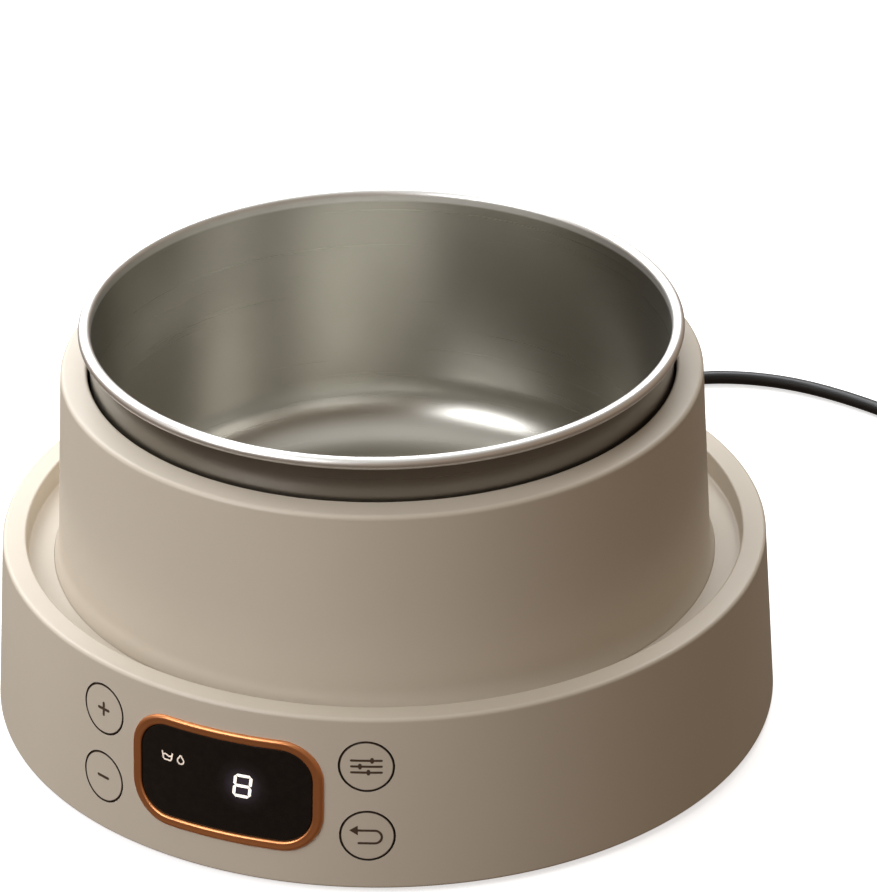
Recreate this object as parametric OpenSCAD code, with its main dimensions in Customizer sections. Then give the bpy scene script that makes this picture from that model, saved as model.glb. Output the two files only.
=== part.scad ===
// Countertop yogurt maker: a wide lower tier with the controls, a narrower heated drum on it,
// and a stainless pot that lifts out of the drum. Millimetres, +Z up, front panel facing -Y,
// origin on the table under the middle of the housing.

/* [Housing] */
// Radius of the lower tier at its bottom edge
base_r = 109.5; // [108:0.5:112]
// Height of the rubber feet below the housing's edge
foot_h = 1.5; // [1:0.5:2.5]
// Outer radius of the raised ring at its top
rim_r = 106.3; // [105:0.1:107]
// Height of the raised ring's top
rim_z = 52; // [51.5:0.1:53]
// Inner radius of the raised ring at its top
rim_in_r = 99.8; // [99.6:0.1:100.2]
// Rounding of the ring's outer top edge
rim_round = 1.1; // [1:0.1:1.6]
// Rounding of the ring's inner top edge
rim_in_round = 0.6; // [0.6:0.1:0.9]
// Height of the lid channel's floor
floor_z = 45.3; // [45:0.1:45.8]
// Wall thickness of the housings
wall = 2.4; // [2.2:0.1:2.5]

/* [Drum] */
// Radius of the drum's straight wall, carried down to the channel floor
drum_r = 91; // [90.8:0.1:91.4]
// Radius of the drum's top edge
drum_top_r = 88.1; // [88:0.1:88.4]
// Height of the drum's top edge
drum_top_z = 102.1; // [101.8:0.1:102.3]
// Inner radius of the drum's top lip
lip_r = 80.8; // [80.7:0.1:80.9]
// Radius of the cove where the drum's foot meets the channel floor
cove_r = 18; // [16:1:20]

/* [Pot] */
// Inner radius of the pot
pot_r = 79.4; // [79:0.1:79.5]
// Inner depth of the pot below its rolled rim's top
pot_depth = 78; // [76:0.5:78]
// Height of the middle of the rolled rim
bead_z = 114.1; // [112:0.1:116]
// Radius of the rolled rim's section
bead_r = 1.7; // [1.6:0.05:1.8]
// Thickness of the pot's sheet
pot_sheet = 0.6; // [0.5:0.1:0.6]

/* [Panel] */
// Height of the middle of the display and of each pair of keys
panel_z = 27.8; // [27.6:0.1:28]
// Width of the display's trim ring
bezel_w = 55.3; // [55:0.1:55.6]
// Height of the display's trim ring
bezel_h = 32.8; // [32.6:0.1:33]
// Corner radius of the trim ring
bezel_corner = 11.5; // [11:0.1:12]
// Width of the trim ring's band
bezel_band = 2.75; // [2.65:0.05:3]
// How far the trim ring stands proud of the wall
bezel_proud = 0.9; // [0.7:0.1:1]
// Diameter of a key cap
key_d = 14.2; // [14.1:0.1:14.4]
// Angle of each pair of keys from the middle of the display
key_angle = 20.9; // [20.8:0.1:21]
// Height between the middles of a pair of keys
key_pitch = 20.6; // [20.5:0.1:20.8]
// How far a key travels
key_travel = 0.7; // [0.5:0.1:0.7]

/* [Cord] */
// Diameter of the mains cord
cord_d = 4.2; // [4:0.1:4.2]
// Height of the cord's outlet
outlet_z = 13; // [12.5:0.5:14]

/* [Hidden] */
$fn = 96;

// Colours
cream = [0.85, 0.81, 0.74];
steel = [0.75, 0.75, 0.76];
zinc = [0.62, 0.63, 0.65];
copper = [0.76, 0.45, 0.28];
black = [0.06, 0.06, 0.07];
board_green = [0.1, 0.35, 0.2];
silicone = [0.8, 0.3, 0.15];

// Small running gap between a piece and the opening it sits in
gap = 0.1;

// Lower tier, with a shallow seat inside the channel's floor for the drum to stand in
groove_r = rim_in_r - 0.3;
ring_wall_r = rim_in_r + 2;
floor_in_r = 83.6;
seat_z = floor_z - 0.8;
cover_z = 3;
cover_top_z = cover_z + wall;

// Drum's foot: a cove from the ring's height down to a low upright edge
drum_slant = unit([drum_r - drum_top_r, floor_z - drum_top_z]);
cove_top = [drum_wall_r(rim_z), rim_z];
cove_mid = cove_top + cove_r * [-drum_slant[1], drum_slant[0]];
foot_edge_z = floor_z + 0.3;
foot_edge_r = cove_mid[0] - sqrt(pow(cove_r, 2) - pow(cove_mid[1] - foot_edge_z, 2));

// Angles from +X and distances from the middle of the screws, the ears and the feet
cover_screw_angles = [20, 160, 200, 340];
cover_screw_r = 97;
drum_screw_angles = [30, 90, 150, 210, 270, 330];
drum_screw_r = 86;
carrier_angles = [45, 135, 225, 315];
carrier_screw_r = 92;
foot_r = 90;
foot_d = 15;

// Pot and well
bead_mid_r = pot_r + bead_r;
pot_top_z = bead_z + bead_r;
pot_in_z = pot_top_z - pot_depth;
pot_out_r = pot_r + pot_sheet;
pot_out_z = pot_in_z - pot_sheet;
pot_corner = 18;
lip_z = drum_top_z + 0.7;
lip_under_z = lip_z - wall;
well_r = 81.4;
well_sheet = 0.8;
well_floor_z = pot_out_z - gap;
well_under_z = well_floor_z - well_sheet;
well_corner = 12;
seal_t = 1;
seal_in_r = 81;
flange_r = 85.6;
flange_z = lip_under_z - seal_t;
sensor_d = 3.6;
sensor_drop = 1.9;
mat_t = 1.2;
clamp_t = 1.2;
clamp_z = well_under_z - mat_t - clamp_t;
carrier_z = clamp_z - 8.4;
carrier_t = 2;

// Display and keys
key_gap = 0.4;
key_flange = 1.2;
key_depth = 3.3;
key_stem_d = 4;
key_hole_r = 102.5;
key_in_r = 95;
panel_out_r = 115;
switch_board_r = 97.2;
switch_t = 3.6;
switch_reach = 4.1;
key_stem_r = switch_board_r + switch_reach + key_travel + 0.2;
board_t = 1.6;
board_top_z = floor_z - wall - 0.3;
board_low_z = 13;
lens_t = 1.6;
lens_proud = 0.3;
collar_inset = 1.9;
control_board_y = -94.6;
module_size = [44, 7, 21];
bracket_t = 2;
bracket_z = 9.4;
board_screw_x = 20;
board_screw_z = 15.3;
bracket_screw = [16, -84];
clamp_screw_x = 8;

// Power board
power_z = 9.4;
power_size = [70, 48];
power_mid = [0, 30];
part_z = power_z + board_t;

// Cord outlet
relief_back_y = 103.8;
relief_flange_y = 105.6;
relief_collar_r = 5.8;
relief_collar_y = wall_r(outlet_z - relief_collar_r) + gap;
relief_tip_y = 146;
stub_end_y = 84;
clamp_y = 92;
cord_under_z = outlet_z - cord_d / 2;

// The cord's uncoiled stretch from the strain relief's tip to the coil, point by point
lead_route = [[0, 146, 13], [0, 150, 13], [0, 156, 11.8], [0.2, 163, 8.8], [1, 171, 5], [3, 180, 2.6],
              [7, 190, 2.1], [13, 198, 2.1], [21, 204, 2.1], [31, 208, 2.1], [42, 210, 2.1],
              [53, 210, 2.1], [64, 208.3, 2.1], [75, 205.6, 2.1], [86, 202, 2.1], [97, 197.5, 2.1],
              [108, 192.2, 2.1], [119, 186, 2.2], [130, 179.2, 2.3], [141, 171.6, 2.5],
              [151, 163.8, 2.6], [158, 157.8, 2.7]];

// Coil: its middle, the turns side by side and on each other
coil_mid = [140, 138];
coil_turns_wide = 3;
coil_layers = 2;
coil_mean_r = 22.5;
coil_in_r = coil_mean_r - coil_turns_wide * cord_d / 2;
coil_out_r = coil_mean_r + coil_turns_wide * cord_d / 2;
coil_z = 0.6;
coil_top_z = coil_z + coil_layers * cord_d;
tie_t = 0.9;
tie_w = 9;

// The cord's end from the coil's outermost turn to the plug
tail_x = coil_mid[0] + coil_out_r - cord_d / 2;
tail_z = coil_top_z - cord_d / 2;
tail_route = [[tail_x, coil_mid[1], tail_z], [tail_x, coil_mid[1] - 7, tail_z],
              [tail_x, coil_mid[1] - 14, tail_z], [tail_x, coil_mid[1] - 21, tail_z]];
plug_y = coil_mid[1] - 21;
plug_relief = 20;
plug_len = 32;
plug_w = 24;
plug_h = 2 * tail_z;
blade_len = 17;
blade_pitch = 12.7;

// Radius of the lower tier's outer wall at height z
function wall_r(z) = base_r - (base_r - rim_r) * (z - foot_h) / (rim_z - foot_h);

// Radius of the drum's straight wall at height z
function drum_wall_r(z) = drum_r - (drum_r - drum_top_r) * (z - floor_z) / (drum_top_z - floor_z);

// A point at an angle from +X and a distance from the middle
function polar(angle, r) = [r * cos(angle), r * sin(angle)];

function unit(v) = v / norm(v);

// Direction of a route at its point i
function heading(route, i) = unit(route[min(i + 1, len(route) - 1)] - route[max(i - 1, 0)]);

// Ring of n points square to the route at its point i
function ring(route, i, r, n, up) =
  let (t = heading(route, i), s = unit(cross(t, up)), u = cross(s, t))
  [for (k = [0:n - 1]) route[i] + r * (cos(360 * k / n) * s + sin(360 * k / n) * u)];

// Point on a smooth curve through the route, t of the way from its point i to the next one
function between(route, i, t) =
  let (last = len(route) - 1, a = route[max(i - 1, 0)], b = route[i], c = route[i + 1],
       d = route[min(i + 2, last)])
  0.5 * (2 * b + (c - a) * t + (2 * a - 5 * b + 4 * c - d) * t * t
         + (3 * b - a - 3 * c + d) * t * t * t);

// The route with steps points on each of its stretches
function smooth(route, steps) =
  concat([for (i = [0:len(route) - 2]) for (k = [0:steps - 1]) between(route, i, k / steps)],
         [route[len(route) - 1]]);

// Round tube along a route
module tube(route, d, sides = 8, up = [0, 0, 1]) {
  count = len(route);
  points = [for (i = [0:count - 1]) each ring(route, i, d / 2, sides, up)];
  near_cap = [for (k = [0:sides - 1]) sides - 1 - k];
  far_cap = [for (k = [0:sides - 1]) (count - 1) * sides + k];
  walls = [for (i = [0:count - 2]) for (k = [0:sides - 1])
           let (a = i * sides + k, b = i * sides + (k + 1) % sides)
           each [[a, b, b + sides], [a, b + sides, a + sides]]];
  polyhedron(points, concat([near_cap, far_cap], walls));
}

// Region to take from a corner p, between its two edge directions u and v, to round it
module corner_round(p, u, v, r) {
  w = unit(u + v);
  half = acos(u * v) / 2;
  centre = p + w * r / sin(half);
  reach = r / tan(half);
  difference() {
    polygon([p - w * r, p + u * reach, centre, p + v * reach]);
    translate(centre) circle(r);
  }
}

// Outline of half a cup's section: flat bottom at z0, wall at r, rounded bottom corner
module cup_outline(r, z0, z1, corner) {
  difference() {
    translate([0, z0]) square([r, z1 - z0]);
    corner_round([r, z0], [-1, 0], [0, 1], corner);
  }
}

// Rounded rectangle centred on the origin
module round_rect(w, h, r) {
  square([w - 2 * r, h], center = true);
  square([w, h - 2 * r], center = true);
  for (x = [-1, 1]) {
    for (y = [-1, 1]) {
      translate([x * (w / 2 - r), y * (h / 2 - r)]) circle(r);
    }
  }
}

// Layer that follows the lower tier's wall, from low to high millimetres outside its surface
module wall_layer(low, high) {
  z0 = foot_h + 1;
  z1 = rim_z;
  rotate_extrude() {
    polygon([[wall_r(z0) + low, z0], [wall_r(z0) + high, z0],
             [wall_r(z1) + high, z1], [wall_r(z1) + low, z1]]);
  }
}

// Prism through the front wall, centred on the panel
module panel_prism(w, h, r) {
  translate([0, -85, panel_z]) rotate([90, 0, 0]) linear_extrude(30) round_rect(w, h, r);
}

// Prism with the trim ring's outline, drawn in by an inset
module panel_inset(inset) {
  panel_prism(bezel_w - 2 * inset, bezel_h - 2 * inset, bezel_corner - inset);
}

// Round bar pointing outwards at an angle from the front, from r0 to r1
module radial_bar(angle, z, d, r0, r1) {
  rotate([0, 0, angle]) translate([0, -r0, z]) rotate([90, 0, 0]) cylinder(h = r1 - r0, d = d);
}

// Screw pointing up from z: a pan head below it and a shank above it
module screw_up(p, z, shank_d, shank, head_d, head_h) {
  translate([p[0], p[1], z]) cylinder(h = shank, d = shank_d);
  difference() {
    translate([p[0], p[1], z - head_h]) cylinder(h = head_h, d = head_d);
    translate([p[0], p[1], z - head_h - 1]) cylinder(h = 1.7, d = head_d * 0.4, $fn = 6);
  }
}

// The same screw pointing down from z
module screw_down(p, z, shank_d, shank, head_d, head_h) {
  translate([0, 0, 2 * z]) mirror([0, 0, 1]) screw_up(p, z, shank_d, shank, head_d, head_h);
}

// Wide tier: tapered skirt, raised ring, and the channel floor the drum stands on
module lower_housing() {
  channel_top = rim_z - wall;
  floor_under = floor_z - wall;
  slant = unit([base_r - rim_r, foot_h - rim_z]);
  color(cream) difference() {
    union() {
      rotate_extrude() difference() {
        polygon([[base_r, foot_h], [rim_r, rim_z], [rim_in_r, rim_z], [groove_r, floor_z],
                 [foot_edge_r + gap, floor_z], [foot_edge_r + gap, seat_z], [floor_in_r, seat_z],
                 [floor_in_r, floor_under], [ring_wall_r, floor_under],
                 [ring_wall_r, channel_top], [wall_r(channel_top) - wall, channel_top],
                 [base_r - wall, foot_h]]);
        corner_round([rim_r, rim_z], slant, [-1, 0], rim_round);
        corner_round([rim_in_r, rim_z], [1, 0], unit([groove_r - rim_in_r, floor_z - rim_z]), rim_in_round);
        corner_round([base_r, foot_h], [-1, 0], -slant, 0.8);
      }
      for (a = cover_screw_angles) {
        translate(concat(polar(a, cover_screw_r), cover_top_z))
          cylinder(h = floor_under - cover_top_z + 0.5, d = 8);
      }
      for (a = carrier_angles) {
        translate(concat(polar(a, carrier_screw_r), carrier_z + carrier_t))
          cylinder(h = floor_under - carrier_z - carrier_t + 0.5, d = 7);
      }
    }
    for (a = cover_screw_angles) {
      translate(concat(polar(a, cover_screw_r), cover_top_z - 1)) cylinder(h = 18, d = 2.7);
    }
    for (a = carrier_angles) {
      translate(concat(polar(a, carrier_screw_r), carrier_z)) cylinder(h = 12, d = 2.7);
    }
    for (a = drum_screw_angles) {
      translate(concat(polar(a, drum_screw_r), floor_z - wall - 1)) cylinder(h = wall + 2, d = 3);
    }
    for (side = [-1, 1]) {
      for (level = [-1, 1]) {
        radial_bar(side * key_angle, panel_z + level * key_pitch / 2, key_d + 2 * key_gap,
                   key_hole_r, panel_out_r);
      }
    }
    panel_inset(collar_inset - gap);
    translate([0, 100, outlet_z]) rotate([-90, 0, 0]) cylinder(h = 15, d = 9.2);
  }
}

// Narrow tier: the heated drum with its turned-in top lip
module upper_housing() {
  lip = unit([lip_r - drum_top_r, lip_z - drum_top_z]);
  inner_top_r = drum_wall_r(lip_under_z) - wall + 0.1;
  color(cream) difference() {
    union() {
      rotate_extrude() {
        difference() {
          polygon([[drum_r, seat_z], [drum_r, floor_z], [drum_top_r, drum_top_z], [lip_r, lip_z],
                   [lip_r, lip_under_z], [inner_top_r, lip_under_z],
                   [drum_r - wall + 0.1, seat_z]]);
          corner_round([drum_top_r, drum_top_z], drum_slant, lip, 1.3);
          corner_round([lip_r, lip_z], -lip, [0, -1], 0.7);
        }
        difference() {
          polygon([cove_top, [drum_r - 0.5, floor_z], [drum_r - 0.5, seat_z], [foot_edge_r, seat_z],
                   [foot_edge_r, foot_edge_z + 3]]);
          translate(cove_mid) circle(cove_r, $fn = 360);
        }
      }
      for (a = drum_screw_angles) {
        translate(concat(polar(a, drum_screw_r), seat_z)) cylinder(h = 11.3, d = 5.6);
      }
    }
    for (a = drum_screw_angles) {
      translate(concat(polar(a, drum_screw_r), seat_z - 1)) cylinder(h = 10.3, d = 2.3);
    }
  }
}

// Bottom plate with air slots, board posts and seats for the feet
module bottom_cover() {
  plate_r = wall_r(cover_z) - wall - 0.2;
  color(cream) difference() {
    union() {
      translate([0, 0, cover_z]) cylinder(h = wall, r = plate_r, $fn = 180);
      for (p = power_posts()) {
        translate([p[0], p[1], cover_top_z - 0.5]) cylinder(h = power_z - cover_top_z + 0.5, d = 6);
      }
      for (s = [-1, 1]) {
        translate([s * bracket_screw[0], bracket_screw[1], cover_top_z - 0.5]) {
          cylinder(h = bracket_z - cover_top_z + 0.5, d = 6);
        }
      }
      translate([-11, clamp_y - 5, cover_top_z - 0.5]) {
        cube([22, 10, cord_under_z - cover_top_z + 0.5]);
      }
    }
    for (a = cover_screw_angles) {
      translate(concat(polar(a, cover_screw_r), cover_z - 1)) cylinder(h = wall + 2, d = 3);
      translate(concat(polar(a, cover_screw_r), cover_z - 1)) cylinder(h = 1.8, d = 5.6);
    }
    for (a = carrier_angles) {
      translate(concat(polar(a, foot_r), cover_z - 1)) cylinder(h = wall + 2, d = 5);
    }
    for (p = power_posts()) {
      translate([p[0], p[1], cover_top_z]) cylinder(h = 10, d = 2.1);
    }
    for (s = [-1, 1]) {
      translate([s * bracket_screw[0], bracket_screw[1], cover_top_z - 1]) cylinder(h = 10, d = 2.3);
      translate([s * clamp_screw_x, clamp_y, cover_top_z - 1]) cylinder(h = 10, d = 2.3);
    }
    for (k = [-3:3]) {
      translate([k * 9 - 1.5, -52, cover_z - 1]) cube([3, 34, wall + 2]);
    }
  }
}

// Push-in rubber foot
module foot(angle) {
  p = polar(angle, foot_r);
  color(black) {
    translate([p[0], p[1], 0]) rotate_extrude() difference() {
      union() {
        square([foot_d / 2, cover_z]);
        square([2.5, cover_top_z + 1.5]);
        translate([0, cover_top_z]) square([3.6, 1.5]);
      }
      corner_round([foot_d / 2, 0], [-1, 0], [0, 1], 0.7);
    }
  }
}

module cover_screws() {
  color(zinc) for (a = cover_screw_angles) {
    screw_up(polar(a, cover_screw_r), cover_z + 0.8, 2.6, 11, 5.4, 0.8);
  }
}

module drum_screws() {
  color(zinc) for (a = drum_screw_angles) {
    screw_up(polar(a, drum_screw_r), floor_z - wall, 2.2, 9, 4.4, 1.6);
  }
}

// Stainless pot with a rolled rim
module inner_pot() {
  color(steel) rotate_extrude($fn = 180) {
    difference() {
      cup_outline(pot_out_r, pot_out_z, bead_z, pot_corner + pot_sheet);
      cup_outline(pot_r, pot_in_z, bead_z + 5, pot_corner);
    }
    difference() {
      translate([bead_mid_r, bead_z]) circle(bead_r, $fn = 64);
      translate([bead_mid_r, bead_z]) circle(bead_r - pot_sheet, $fn = 64);
      translate([bead_mid_r, bead_z]) polygon([[0, 0], [-1.3, -3], [0.2, -3]]);
    }
  }
}

// Metal cup round the pot, hung from the drum's lip
module heating_well() {
  color(zinc) rotate_extrude($fn = 180) difference() {
    union() {
      cup_outline(well_r + well_sheet, well_under_z, flange_z, well_corner + well_sheet);
      translate([well_r, flange_z - well_sheet]) square([flange_r - well_r, well_sheet]);
    }
    cup_outline(well_r, well_floor_z, flange_z + 5, well_corner);
  }
}

// Silicone ring between the well's flange and the drum's lip
module well_seal() {
  color(silicone) translate([0, 0, flange_z]) rotate_extrude() {
    translate([seal_in_r, 0]) square([flange_r - seal_in_r, seal_t]);
  }
}

// Heating belt round the well
module heater_belt() {
  belt_low = 58;
  belt_high = 90;
  color(silicone) rotate_extrude() {
    translate([well_r + well_sheet, belt_low]) square([1, belt_high - belt_low]);
  }
}

// Heating mat under the well's floor
module heater_mat() {
  color(silicone) translate([0, 0, well_under_z - mat_t]) cylinder(h = mat_t, r = 55);
}

// Plate that presses the mat to the well
module clamp_plate() {
  color(zinc) difference() {
    translate([0, 0, clamp_z]) cylinder(h = clamp_t, r = 58);
    for (p = clip_holes()) {
      translate([p[0], p[1], clamp_z - 1]) cylinder(h = clamp_t + 2, d = 2.3);
    }
  }
}

// Ring that carries the well and presses the plate up, with four ears
module well_carrier() {
  color(black) difference() {
    union() {
      translate([0, 0, carrier_z]) rotate_extrude() {
        translate([60, 0]) square([18, carrier_t]);
        translate([64, 0]) square([2.5, well_under_z - carrier_z]);
      }
      for (a = carrier_angles) {
        rotate([0, 0, a]) translate([75, -7, carrier_z]) cube([22, 14, carrier_t]);
        rotate([0, 0, a]) translate([49, -5, carrier_z]) cube([13, 10, carrier_t]);
        translate(concat(polar(a, 53), carrier_z + 1)) cylinder(h = clamp_z - carrier_z - 1, d = 6);
      }
    }
    for (a = carrier_angles) {
      translate(concat(polar(a, carrier_screw_r), carrier_z - 1)) cylinder(h = carrier_t + 2, d = 3);
    }
  }
}

module carrier_screws() {
  color(zinc) for (a = carrier_angles) {
    screw_up(polar(a, carrier_screw_r), carrier_z, 2.6, 11, 5.2, 1.8);
  }
}

// Where the two sensors lie under the clamp plate, and their clips' screws
function sensor_y() = [12, -12];
function clip_holes() = [for (y = sensor_y()) for (s = [-1, 1]) [0, y + s * 5]];

// Temperature sensor in its metal sleeve
module temp_sensor() {
  color(steel) translate([-9, sensor_y()[0], clamp_z - sensor_drop]) rotate([0, 90, 0]) {
    cylinder(h = 18, d = sensor_d);
  }
}

// One-shot thermal fuse with its two axial pins
module thermal_fuse() {
  color([0.8, 0.78, 0.72]) translate([0, sensor_y()[1], clamp_z - sensor_drop]) rotate([0, 90, 0]) {
    translate([0, 0, -6]) cylinder(h = 12, d = sensor_d);
    translate([0, 0, -11]) cylinder(h = 22, d = 1);
  }
}

// Bent straps that hold the sensors to the clamp plate
module sensor_clips() {
  strap = 0.6;
  arch_r = sensor_d / 2 + gap;
  foot_out = 7;
  color(zinc) for (y = sensor_y()) {
    difference() {
      translate([-3, y, clamp_z]) rotate([90, 0, 90]) linear_extrude(6) {
        difference() {
          translate([0, -sensor_drop]) circle(arch_r + strap);
          translate([0, -sensor_drop]) circle(arch_r);
          translate([-foot_out, -sensor_drop]) square([2 * foot_out, 10]);
        }
        for (s = [-1, 1]) {
          translate([s > 0 ? arch_r : -arch_r - strap, -sensor_drop]) square([strap, sensor_drop]);
          translate([s > 0 ? arch_r : -foot_out, -strap]) square([foot_out - arch_r, strap]);
        }
      }
      for (p = clip_holes()) {
        translate([p[0], p[1], clamp_z - 2]) cylinder(h = 4, d = 2.3);
      }
    }
  }
}

module clip_screws() {
  color(zinc) for (p = clip_holes()) {
    screw_up(p, clamp_z - 0.6, 2.2, 1.7, 3.4, 1);
  }
}

// Copper-coloured trim ring of the display
module display_bezel() {
  color(copper) difference() {
    union() {
      intersection() {
        wall_layer(0, bezel_proud);
        panel_inset(0);
      }
      intersection() {
        wall_layer(-wall - 1, bezel_proud);
        panel_inset(collar_inset);
      }
    }
    panel_inset(bezel_band);
  }
}

// Black gloss window
module display_lens() {
  color(black) intersection() {
    wall_layer(lens_proud - lens_t, lens_proud);
    panel_inset(bezel_band + gap);
  }
}

// Digit and sign lights in their reflector block
module display_module() {
  color(black) translate([-module_size[0] / 2, control_board_y - module_size[1],
                          panel_z - module_size[2] / 2]) cube(module_size);
}

module control_board() {
  color(board_green) difference() {
    translate([-23.5, control_board_y, board_low_z]) cube([47, board_t, board_top_z - board_low_z]);
    for (s = [-1, 1]) {
      translate([s * board_screw_x, control_board_y - 1, board_screw_z]) {
        rotate([-90, 0, 0]) cylinder(h = 4, d = 2.3);
      }
    }
  }
}

// Small board behind one pair of keys
module key_board(side) {
  color(board_green) rotate([0, 0, side * key_angle]) difference() {
    translate([-8.5, -switch_board_r, board_low_z]) cube([17, board_t, board_top_z - board_low_z]);
    translate([0, -switch_board_r - 1, panel_z]) rotate([-90, 0, 0]) cylinder(h = 4, d = 2.3);
  }
}

// Four press switches, one behind each key
module tact_switches() {
  color(black) for (side = [-1, 1]) {
    for (level = [-1, 1]) {
      z = panel_z + level * key_pitch / 2;
      rotate([0, 0, side * key_angle]) translate([-3, -switch_board_r - switch_t, z - 3]) {
        cube([6, switch_t, 6]);
      }
      radial_bar(side * key_angle, z, 3.2, switch_board_r + 3, switch_board_r + switch_reach);
    }
  }
}

// Frame that holds the three panel boards and stands on the bottom plate
module panel_bracket() {
  back_y = control_board_y + board_t;
  color(black) difference() {
    union() {
      translate([-24, back_y, bracket_z]) cube([48, bracket_t, board_top_z - bracket_z]);
      translate([-24, back_y, bracket_z]) cube([48, 13, bracket_t]);
      for (side = [-1, 1]) {
        rotate([0, 0, side * key_angle]) translate([-8.5, board_t - switch_board_r, bracket_z]) {
          cube([18, bracket_t, board_top_z - bracket_z]);
        }
        translate([side > 0 ? 22 : -27, back_y + 1.6, bracket_z + 1]) {
          cube([5, 1.4, board_top_z - bracket_z - 2]);
        }
      }
    }
    for (s = [-1, 1]) {
      translate([s * bracket_screw[0], bracket_screw[1], bracket_z - 1]) {
        cylinder(h = bracket_t + 2, d = 2.8);
      }
    }
    translate([-16, back_y - 1, 14.5]) cube([32, bracket_t + 2, 9.5]);
    for (s = [-1, 1]) {
      translate([s * board_screw_x, back_y - 1, board_screw_z]) {
        rotate([-90, 0, 0]) cylinder(h = 5, d = 1.9);
      }
    }
    for (side = [-1, 1]) {
      rotate([0, 0, side * key_angle]) translate([0, -switch_board_r, panel_z]) rotate([-90, 0, 0])
        cylinder(h = 6, d = 1.9);
    }
  }
}

module bracket_screws() {
  color(zinc) for (s = [-1, 1]) {
    screw_down([s * bracket_screw[0], bracket_screw[1]], bracket_z + bracket_t, 2.2, 5.5, 4.4, 1.5);
  }
}

// One small screw that holds a panel board to the bracket, pointing inwards
module board_screw(x, y, z) {
  translate([x, y, z]) rotate([-90, 0, 0]) cylinder(h = board_t + bracket_t, d = 1.8);
  translate([x, y - 1.1, z]) rotate([-90, 0, 0]) cylinder(h = 1.1, d = 3.6);
}

module panel_screws() {
  color(zinc) {
    for (s = [-1, 1]) {
      board_screw(s * board_screw_x, control_board_y, board_screw_z);
    }
    for (side = [-1, 1]) {
      rotate([0, 0, side * key_angle]) board_screw(0, -switch_board_r, panel_z);
    }
  }
}

// Key cap that follows the wall, with a retaining flange and a stem to its switch
module key_cap(side, level) {
  z = panel_z + level * key_pitch / 2;
  color(cream) {
    intersection() {
      wall_layer(-key_depth, 0);
      radial_bar(side * key_angle, z, key_d, key_in_r, panel_out_r);
    }
    intersection() {
      wall_layer(-key_depth, -wall - 0.2);
      radial_bar(side * key_angle, z, key_d + 2 * key_flange, key_in_r, panel_out_r);
    }
    radial_bar(side * key_angle, z, key_stem_d, key_stem_r, wall_r(z) - key_depth + 1);
  }
}

// Posts of the power board
function power_posts() = [for (x = [-1, 1]) for (y = [-1, 1])
                          [power_mid[0] + x * (power_size[0] / 2 - 4),
                           power_mid[1] + y * (power_size[1] / 2 - 4)]];

module power_board() {
  color(board_green) difference() {
    translate([power_mid[0] - power_size[0] / 2, power_mid[1] - power_size[1] / 2, power_z])
      cube([power_size[0], power_size[1], board_t]);
    for (p = power_posts()) {
      translate([p[0], p[1], power_z - 1]) cylinder(h = 4, d = 2.4);
    }
  }
}

module board_screws() {
  color(zinc) for (p = power_posts()) {
    screw_down(p, power_z + board_t, 2, 5, 4, 1.4);
  }
}

module relay() {
  color([0.15, 0.3, 0.6]) translate([4, 30, part_z]) cube([19, 15, 12]);
}

module film_capacitor() {
  color([0.85, 0.7, 0.2]) translate([-24, 14, part_z]) cube([18, 8, 12]);
}

module filter_capacitor() {
  color(black) translate([16, 20, part_z]) cylinder(h = 13, d = 10);
}

module mains_fuse() {
  color([0.9, 0.9, 0.85]) {
    translate([-24, 29, part_z + 3]) rotate([0, 90, 0]) cylinder(h = 20, d = 5);
    for (x = [-24, -8]) {
      translate([x, 26.2, part_z]) cube([4, 5.6, 3]);
    }
  }
}

module terminal_block() {
  color([0.2, 0.45, 0.3]) translate([-24, 38, part_z]) cube([20, 9, 9]);
}

// Two insulated leads from the cord's end to the terminal block
module mains_leads() {
  color([0.45, 0.25, 0.12]) for (s = [-1, 1]) {
    tube(smooth([[s, stub_end_y, outlet_z], [s, stub_end_y - 5, outlet_z],
                 [s * 2.5 - 3, 72, 14], [s * 3.5 - 9, 62, 16.5], [s * 4 - 14, 54, 17],
                 [s * 4 - 14, 50, 16.5], [s * 4 - 14, 47, 16.5]], 2), 1.8, 6);
  }
}

// Two sleeved leads from the power board up to the heating mat's edge
module heater_leads() {
  color([0.9, 0.9, 0.88]) for (s = [-1, 1]) {
    y = 26 + s * 1.5;
    tube(smooth([[30, y, part_z], [30, y, part_z + 4], [33, y - 1, part_z + 11],
                 [41, y - 4, clamp_z - 6], [44, y - 5, clamp_z - 3], [44, y - 5, clamp_z]], 2),
         2, 6, [0, 1, 0]);
  }
}

// Two thin leads from the temperature sensor to the control board
module sensor_leads() {
  color([0.9, 0.9, 0.88]) for (s = [-1, 1]) {
    tube(smooth([[9, 12 + s * 0.8, clamp_z - sensor_drop], [13, 12 + s * 0.8, clamp_z - sensor_drop],
                 [21, 7 + s, clamp_z - 4], [24 + s, -14, clamp_z - 8], [20 + s, -45, 22],
                 [14 + s, -72, 20], [10 + s, -86, 19], [10 + s, control_board_y + board_t, 19]], 2),
         1.2, 6);
  }
}

// Flat cable from the power board to the control board
module panel_cable() {
  z = part_z;
  end_y = control_board_y + board_t;
  color([0.6, 0.6, 0.62]) translate([-14, 0, 0]) rotate([90, 0, 90]) linear_extrude(10) {
    polygon([[8, z], [9, z], [9, z + 6], [-60, z + 6], [-88, z + 7], [end_y, z + 7],
             [end_y, z + 6], [-88, z + 6], [-60, z + 5], [8, z + 5]]);
  }
}

// Point beside the right key board's outer face: u along it from its middle, out from it
function by_key_board(u, out) =
  [u * cos(key_angle) + (switch_board_r + out) * sin(key_angle),
   u * sin(key_angle) - (switch_board_r + out) * cos(key_angle)];

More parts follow.
